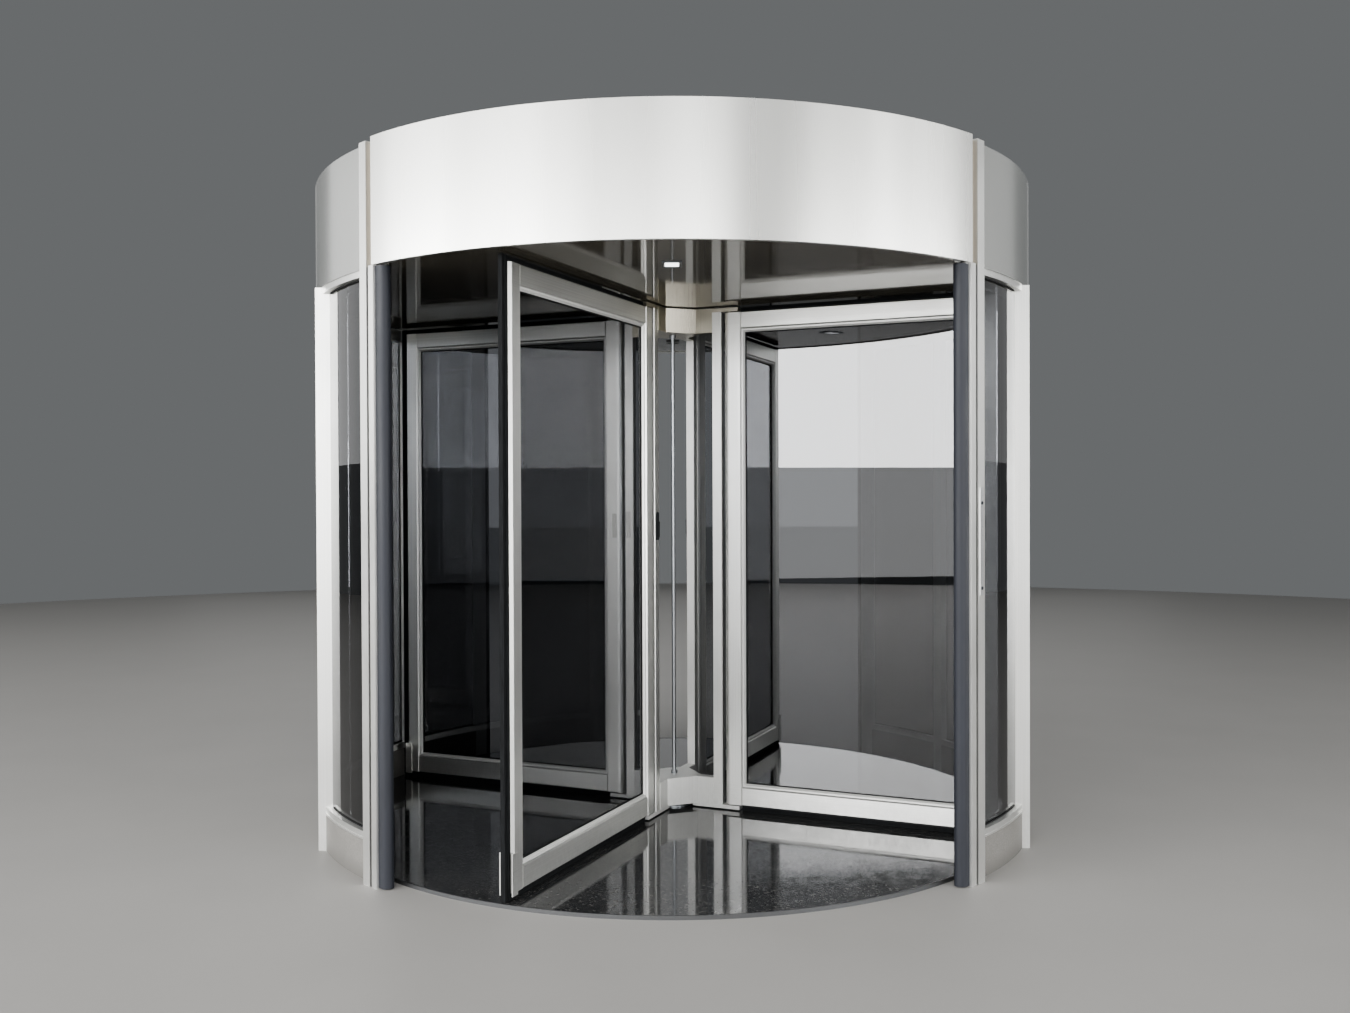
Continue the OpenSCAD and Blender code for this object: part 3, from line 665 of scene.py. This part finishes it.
def dress(looks):
    """Gives CAD nodes their finishes."""
    for node, look in looks.items():
        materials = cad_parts[node].data.materials
        materials.clear()
        materials.append(finish(look))


class DOOR_OT_dress_drum(bpy.types.Operator):
    """Gives the fixed drum its finishes"""

    bl_idname = "door.dress_drum"
    bl_label = "Dress the drum"

    def execute(self, context):
        looks = {
            "floor_disc": "granite",
            "floor_edge_trims": "trim",
            "canopy_front": "fascia",
            "canopy_back": "fascia",
            "canopy_roof": "roof",
            "ceiling": "ceiling",
            "ceiling_lamps": "lens",
            "post_plate": "plate",
            "shaft_bearings": "bearing",
        }
        for side in SIDES:
            looks[f"wall_jambs_{side}"] = "wall"
            looks[f"wall_plinth_{side}"] = "plinth"
            looks[f"wall_channels_{side}"] = "wall"
            looks[f"wall_glass_{side}"] = "wall_glass"
            looks[f"canopy_{side}"] = "side"
            for end in ("front", "back"):
                looks[f"door_post_{end}_{side}"] = "post"
                looks[f"safety_edge_{end}_{side}"] = "rubber"
        dress(looks)
        return {"FINISHED"}


class DOOR_OT_dress_rotor(bpy.types.Operator):
    """Gives the rotor's centre its finishes"""

    bl_idname = "door.dress_rotor"
    bl_label = "Dress the rotor"

    def execute(self, context):
        dress({
            "hub_bottom": "hub_foot",
            "hub_top": "hub",
            "centre_rod": "rod",
            "cage_posts": "wing",
            "cage_latches": "latch",
        })
        return {"FINISHED"}


class DOOR_OT_dress_wings(bpy.types.Operator):
    """Gives the four wings their finishes"""

    bl_idname = "door.dress_wings"
    bl_label = "Dress the wings"

    def execute(self, context):
        for k in WINGS:
            dress({
                f"wing_frame_{k}": "wing",
                f"wing_glass_{k}": "wing_glass",
                f"wing_seals_{k}": "brush",
            })
        return {"FINISHED"}


class DOOR_OT_glazing_beads(bpy.types.Operator):
    """Sets sloped glazing beads round each wing's glass, on both faces"""

    bl_idname = "door.glazing_beads"
    bl_label = "Glazing beads"

    def execute(self, context):
        sizes = context.scene.door_sizes
        low, high = (sizes.glass_in, sizes.glass_low), (sizes.glass_out, sizes.glass_high)
        start = sizes.pane_t / 2
        end = start + sizes.bead_t
        slope = sizes.bead_t * 0.6
        for k in WINGS:
            bm = bmesh.new()
            for way in (-1, 1):
                picture_frame(bm, low, high, sizes.bead_w, way * start, way * end, slope)
            to_wing(bm, sizes, k)
            put(bm, f"wing_beads_{k}", "bead", f"wing_{k}")
        return {"FINISHED"}


class DOOR_OT_glazing_gaskets(bpy.types.Operator):
    """Lays black gasket lines between the beads and each wing's glass"""

    bl_idname = "door.glazing_gaskets"
    bl_label = "Glazing gaskets"

    def execute(self, context):
        sizes = context.scene.door_sizes
        inset = sizes.bead_w
        low = (sizes.glass_in + inset, sizes.glass_low + inset)
        high = (sizes.glass_out - inset, sizes.glass_high - inset)
        start = sizes.pane_t / 2
        end = start + sizes.gasket_t
        slope = sizes.gasket_t / 2
        for k in WINGS:
            bm = bmesh.new()
            for way in (-1, 1):
                picture_frame(bm, low, high, sizes.gasket_w, way * start, way * end, slope)
            to_wing(bm, sizes, k)
            put(bm, f"wing_gaskets_{k}", "gasket", f"wing_{k}")
        return {"FINISHED"}


class DOOR_OT_seal_carriers(bpy.types.Operator):
    """Adds the slim black lips that hold the brush seals at each wing's head and foot"""

    bl_idname = "door.seal_carriers"
    bl_label = "Seal carriers"

    def execute(self, context):
        sizes = context.scene.door_sizes
        thickness, height, edge, gap, setback = 0.0035, 0.009, 0.0008, 0.0005, 0.010
        inner = sizes.seal_t / 2 + gap
        foot, head = sizes.wing_low, sizes.wing_high
        for k in WINGS:
            bm = bmesh.new()
            for way in (-1, 1):
                y_low, y_high = sorted((way * inner, way * (inner + thickness)))
                for z, end in ((head, sizes.wing_out), (foot - height, sizes.wing_out - setback)):
                    bar(bm, (sizes.seal_from, y_low, z), (end, y_high, z + height), edge)
            to_wing(bm, sizes, k)
            put(bm, f"seal_carriers_{k}", "gasket", f"wing_{k}")
        return {"FINISHED"}


class DOOR_OT_latch_keepers(bpy.types.Operator):
    """Adds the black keepers on the inner stiles of the second and fourth wing"""

    bl_idname = "door.latch_keepers"
    bl_label = "Latch keepers"

    def execute(self, context):
        sizes = context.scene.door_sizes
        face, low = sizes.wing_face, sizes.keeper_z
        # The distances of the inner and outer edge, then from the stile's face to back and front,
        # from the lower end to foot and head, and the radius of the edges.
        plate = (0.301, 0.327, -0.001, 0.003, 0.0, 0.120, 0.0012)
        strike = (0.307, 0.321, 0.002, 0.004, 0.030, 0.090, 0.0008)
        for k in (2, 4):
            bm = bmesh.new()
            for start, end, back, front, foot, head, edge in (plate, strike):
                bar(bm, (start, face + back, low + foot), (end, face + front, low + head), edge)
            to_wing(bm, sizes, k)
            put(bm, f"latch_keeper_{k}", "plastic", f"wing_{k}")
        return {"FINISHED"}


class DOOR_OT_wall_gaskets(bpy.types.Operator):
    """Lays the black gaskets between the curved glass and its channels"""

    bl_idname = "door.wall_gaskets"
    bl_label = "Wall gaskets"

    def execute(self, context):
        sizes = context.scene.door_sizes
        depth, rise = 0.004, 0.005
        outside = (sizes.pane_out, sizes.pane_out + depth)
        inside = (sizes.pane_in - depth, sizes.pane_in)
        sill = (sizes.sill_top, sizes.sill_top + rise)
        head = (sizes.head_low - rise, sizes.head_low)
        for side in SIDES:
            bm = bmesh.new()
            # The glass runs in three lengths between the posts and the two jambs, in degrees.
            for span in ((-43.9, -27.3), (-24.1, 24.1), (27.3, 43.9)):
                for radii, heights in ((outside, sill), (inside, sill), (outside, head)):
                    arc_bar(bm, *radii, *heights, *span)
            turned(bm, bm.verts, math.pi if side == "left" else 0.0)
            put(bm, f"wall_gaskets_{side}", "gasket", "drum")
        return {"FINISHED"}


class DOOR_OT_post_gaskets(bpy.types.Operator):
    """Presses a black gasket into the groove of each door post"""

    bl_idname = "door.post_gaskets"
    bl_label = "Post gaskets"

    def execute(self, context):
        sizes = context.scene.door_sizes
        gap, inner, outer, foot, head = 0.0002, 1.6865, 1.6940, 0.003, 2.418
        start, end = sizes.face_w + gap, sizes.face_w + sizes.groove_w - gap
        bm = bmesh.new()
        at_posts(bm, (inner, start, foot), (outer, end, head), 0.0015)
        put(bm, "post_gaskets", "gasket", "drum")
        return {"FINISHED"}


class DOOR_OT_recess_strips(bpy.types.Operator):
    """Lines the recess between each post's head and the fascia with a warm grey strip of painted
    shade
    """

    bl_idname = "door.recess_strips"
    bl_label = "Recess strips"

    def execute(self, context):
        sizes = context.scene.door_sizes
        gap, inner, outer, foot, head = 0.0005, 1.6740, 1.6768, 2.4215, 2.9055
        start, end = sizes.face_w + gap, sizes.face_w + sizes.recess_w - gap
        bm = bmesh.new()
        at_posts(bm, (inner, start, foot), (outer, end, head), 0.0006)
        put(bm, "recess_strips", "recess", "drum")
        return {"FINISHED"}


class DOOR_OT_brush_tips(bpy.types.Operator):
    """Lets the bristle tips of each wing's foot seal reach the floor"""

    bl_idname = "door.brush_tips"
    bl_label = "Brush tips"

    def execute(self, context):
        sizes = context.scene.door_sizes
        half, edge = 0.0075, 0.0004
        low = (sizes.seal_from, -half, sizes.tip_low)
        high = (sizes.seal_to, half, sizes.tip_high)
        for k in WINGS:
            bm = bmesh.new()
            bar(bm, low, high, edge)
            to_wing(bm, sizes, k)
            put(bm, f"brush_tips_{k}", "brush", f"wing_{k}")
        return {"FINISHED"}


class DOOR_OT_plate_screws(bpy.types.Operator):
    """Adds the two screws of the cover plate on the front right post"""

    bl_idname = "door.plate_screws"
    bl_label = "Plate screws"

    def execute(self, context):
        sizes = context.scene.door_sizes
        heights, radius = (1.158, 1.491), 0.007
        low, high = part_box("post_plate")
        if not low.z < min(heights) < max(heights) < high.z:
            raise RuntimeError("the plate isn't where its screws are")
        out = Vector((math.sin(sizes.post_turn), -math.cos(sizes.post_turn), 0))
        along = Vector((out.y, -out.x, 0))
        at = out * sizes.post_face + along * sizes.face_w / 2
        bm = bmesh.new()
        for z in heights:
            button_screw(bm, (at.x, at.y, z), out, radius)
        put(bm, "plate_screws", "screw", "drum")
        return {"FINISHED"}


class DOOR_OT_lamp_bezels(bpy.types.Operator):
    """Adds the narrow dark bezel round each ceiling lamp"""

    bl_idname = "door.lamp_bezels"
    bl_label = "Lamp bezels"

    def execute(self, context):
        sizes = context.scene.door_sizes
        half_x, half_y, rim, drop, slope = 0.0275, 0.046, 0.011, 0.0045, 0.0015
        corner = (half_x + rim, half_y + rim)
        bm = bmesh.new()
        for way in (-1, 1):
            others = set(bm.verts)
            picture_frame(bm, (-corner[0], -corner[1]), corner, rim, 0.0, drop, slope)
            made = [v for v in bm.verts if v not in others]
            bmesh.ops.rotate(bm, matrix=Matrix.Rotation(-QUARTER, 3, "X"), verts=made)
            bmesh.ops.translate(bm, vec=(0, way * sizes.lamp_out, sizes.ceiling), verts=made)
        put(bm, "lamp_bezels", "screw", "drum")
        return {"FINISHED"}


class DOOR_OT_stage(bpy.types.Operator):
    """Sets the pale floor, the soft lights and the camera"""

    bl_idname = "door.stage"
    bl_label = "Stage"

    def execute(self, context):
        scene = context.scene
        scene.view_settings.look = "AgX - Medium High Contrast"
        self.lay_floor(scene)
        self.set_lights(scene)
        self.set_camera(scene)
        return {"FINISHED"}

    def lay_floor(self, scene):
        """Lays the round studio floor."""
        bm = bmesh.new()
        bmesh.ops.create_circle(bm, cap_ends=True, segments=128, radius=STUDIO)
        mesh = bpy.data.meshes.new("studio_floor")
        bm.to_mesh(mesh)
        bm.free()
        mesh.materials.append(finish("studio"))
        floor = bpy.data.objects.new("studio_floor", mesh)
        scene.collection.objects.link(floor)

    def softbox(self, name, azimuth, distance, width, low, high, radiance):
        """An upright softbox that faces the door. Azimuth 0 is the street side, and +X is at
        90 degrees."""
        data = bpy.data.lights.new(name, "AREA")
        data.shape = "RECTANGLE"
        data.size, data.size_y = width, high - low
        data.energy = 4 * radiance * width * (high - low)
        light = bpy.data.objects.new(name, data)
        turn = math.radians(azimuth)
        away = (distance * math.sin(turn), -distance * math.cos(turn))
        light.location = (*away, (low + high) / 2)
        light.rotation_euler = (QUARTER, 0, turn)
        light.visible_camera = False
        bpy.context.scene.collection.objects.link(light)
        return light

    def set_lights(self, scene):
        """Sets the softboxes and the plain room."""
        stage = scene.door_stage
        # Each front softbox is brightest in its middle, over a dim foot and under a dim head.
        for side, azimuth, width, radiance, foot in (
            ("left", -55, 20.5, stage.left, stage.left_foot),
            ("middle", -2, 9, stage.front, stage.front_foot),
            ("right", 60, 15, stage.right, stage.right_foot),
        ):
            for low, high, share in ((0.05, 2.0, foot), (2.0, 5.2, 1.0), (5.2, 10.0, stage.high)):
                name = f"{side}_softbox_{low}"
                self.softbox(name, azimuth, STUDIO, width, low, high, radiance * share)
        for name, azimuth, distance, width, low, high, radiance in (
            ("low_right_softbox", 42, STUDIO, 5, 0.05, 2.4, stage.low_right),
            ("far_left_softbox", -105, 14, 11, 2.0, 7.0, stage.far_left),
            ("far_right_softbox", 105, 14, 11, 2.0, 7.0, stage.far_right),
            ("back_softbox", 180, 14, 16, 8.0, 14.0, stage.back),
            ("back_fill", 180, 14, 16, 1.0, 8.0, stage.back * stage.back_low),
        ):
            self.softbox(name, azimuth, distance, width, low, high, radiance)
        # This one hangs 9 m up on the street side, and is turned to face down.
        overhead = self.softbox("top_softbox", 0, 5.5, 11, 5.5, 12.5, stage.top)
        overhead.rotation_euler = (0, 0, 0)

        world = bpy.data.worlds.new("Plain studio room")
        world.use_nodes = True
        room = {"Color": shade(scene.door_colours.room), "Strength": stage.room}
        feed(world.node_tree, world.node_tree.nodes["Background"], room)
        scene.world = world

    def set_camera(self, scene):
        """Sets the camera at the photograph's viewing angle."""
        stage = scene.door_stage
        data = bpy.data.cameras.new("photo_camera")
        data.sensor_width = 36.0
        data.lens = stage.lens
        camera = bpy.data.objects.new("photo_camera", data)
        camera.location = (stage.eye_x, stage.eye_y, stage.eye_z)
        pitch = Matrix.Rotation(QUARTER + stage.pitch, 4, "X")
        camera.rotation_euler = (pitch @ Matrix.Rotation(stage.roll, 4, "Z")).to_euler()
        scene.collection.objects.link(camera)
        scene.camera = camera


OPERATORS = (
    DOOR_OT_dress_drum,
    DOOR_OT_dress_rotor,
    DOOR_OT_dress_wings,
    DOOR_OT_glazing_beads,
    DOOR_OT_glazing_gaskets,
    DOOR_OT_seal_carriers,
    DOOR_OT_latch_keepers,
    DOOR_OT_wall_gaskets,
    DOOR_OT_post_gaskets,
    DOOR_OT_recess_strips,
    DOOR_OT_brush_tips,
    DOOR_OT_plate_screws,
    DOOR_OT_lamp_bezels,
    DOOR_OT_stage,
)


class DOOR_PT_panel(bpy.types.Panel):
    """Lists the door's sizes, colours and steps"""

    bl_idname = "DOOR_PT_panel"
    bl_label = "Revolving door"
    bl_space_type = "VIEW_3D"
    bl_region_type = "UI"
    bl_category = "Revolving door"

    def draw(self, context):
        scene = context.scene
        for group in (scene.door_sizes, scene.door_colours, scene.door_stage):
            box = self.layout.box()
            for key in group.__annotations__:
                box.prop(group, key)
        for step in OPERATORS:
            self.layout.operator(step.bl_idname)


GROUPS = {"door_sizes": DoorSizes, "door_colours": DoorColours, "door_stage": DoorStage}


def register():
    for made in (*GROUPS.values(), *OPERATORS, DOOR_PT_panel):
        bpy.utils.register_class(made)
    for name, group in GROUPS.items():
        setattr(bpy.types.Scene, name, bpy.props.PointerProperty(type=group))


def unregister():
    for name in GROUPS:
        delattr(bpy.types.Scene, name)
    for made in reversed((*GROUPS.values(), *OPERATORS, DOOR_PT_panel)):
        bpy.utils.unregister_class(made)


def main():
    register()
    for step in OPERATORS:
        getattr(bpy.ops.door, step.bl_idname.split(".")[1])()


if __name__ == "__main__":
    main()
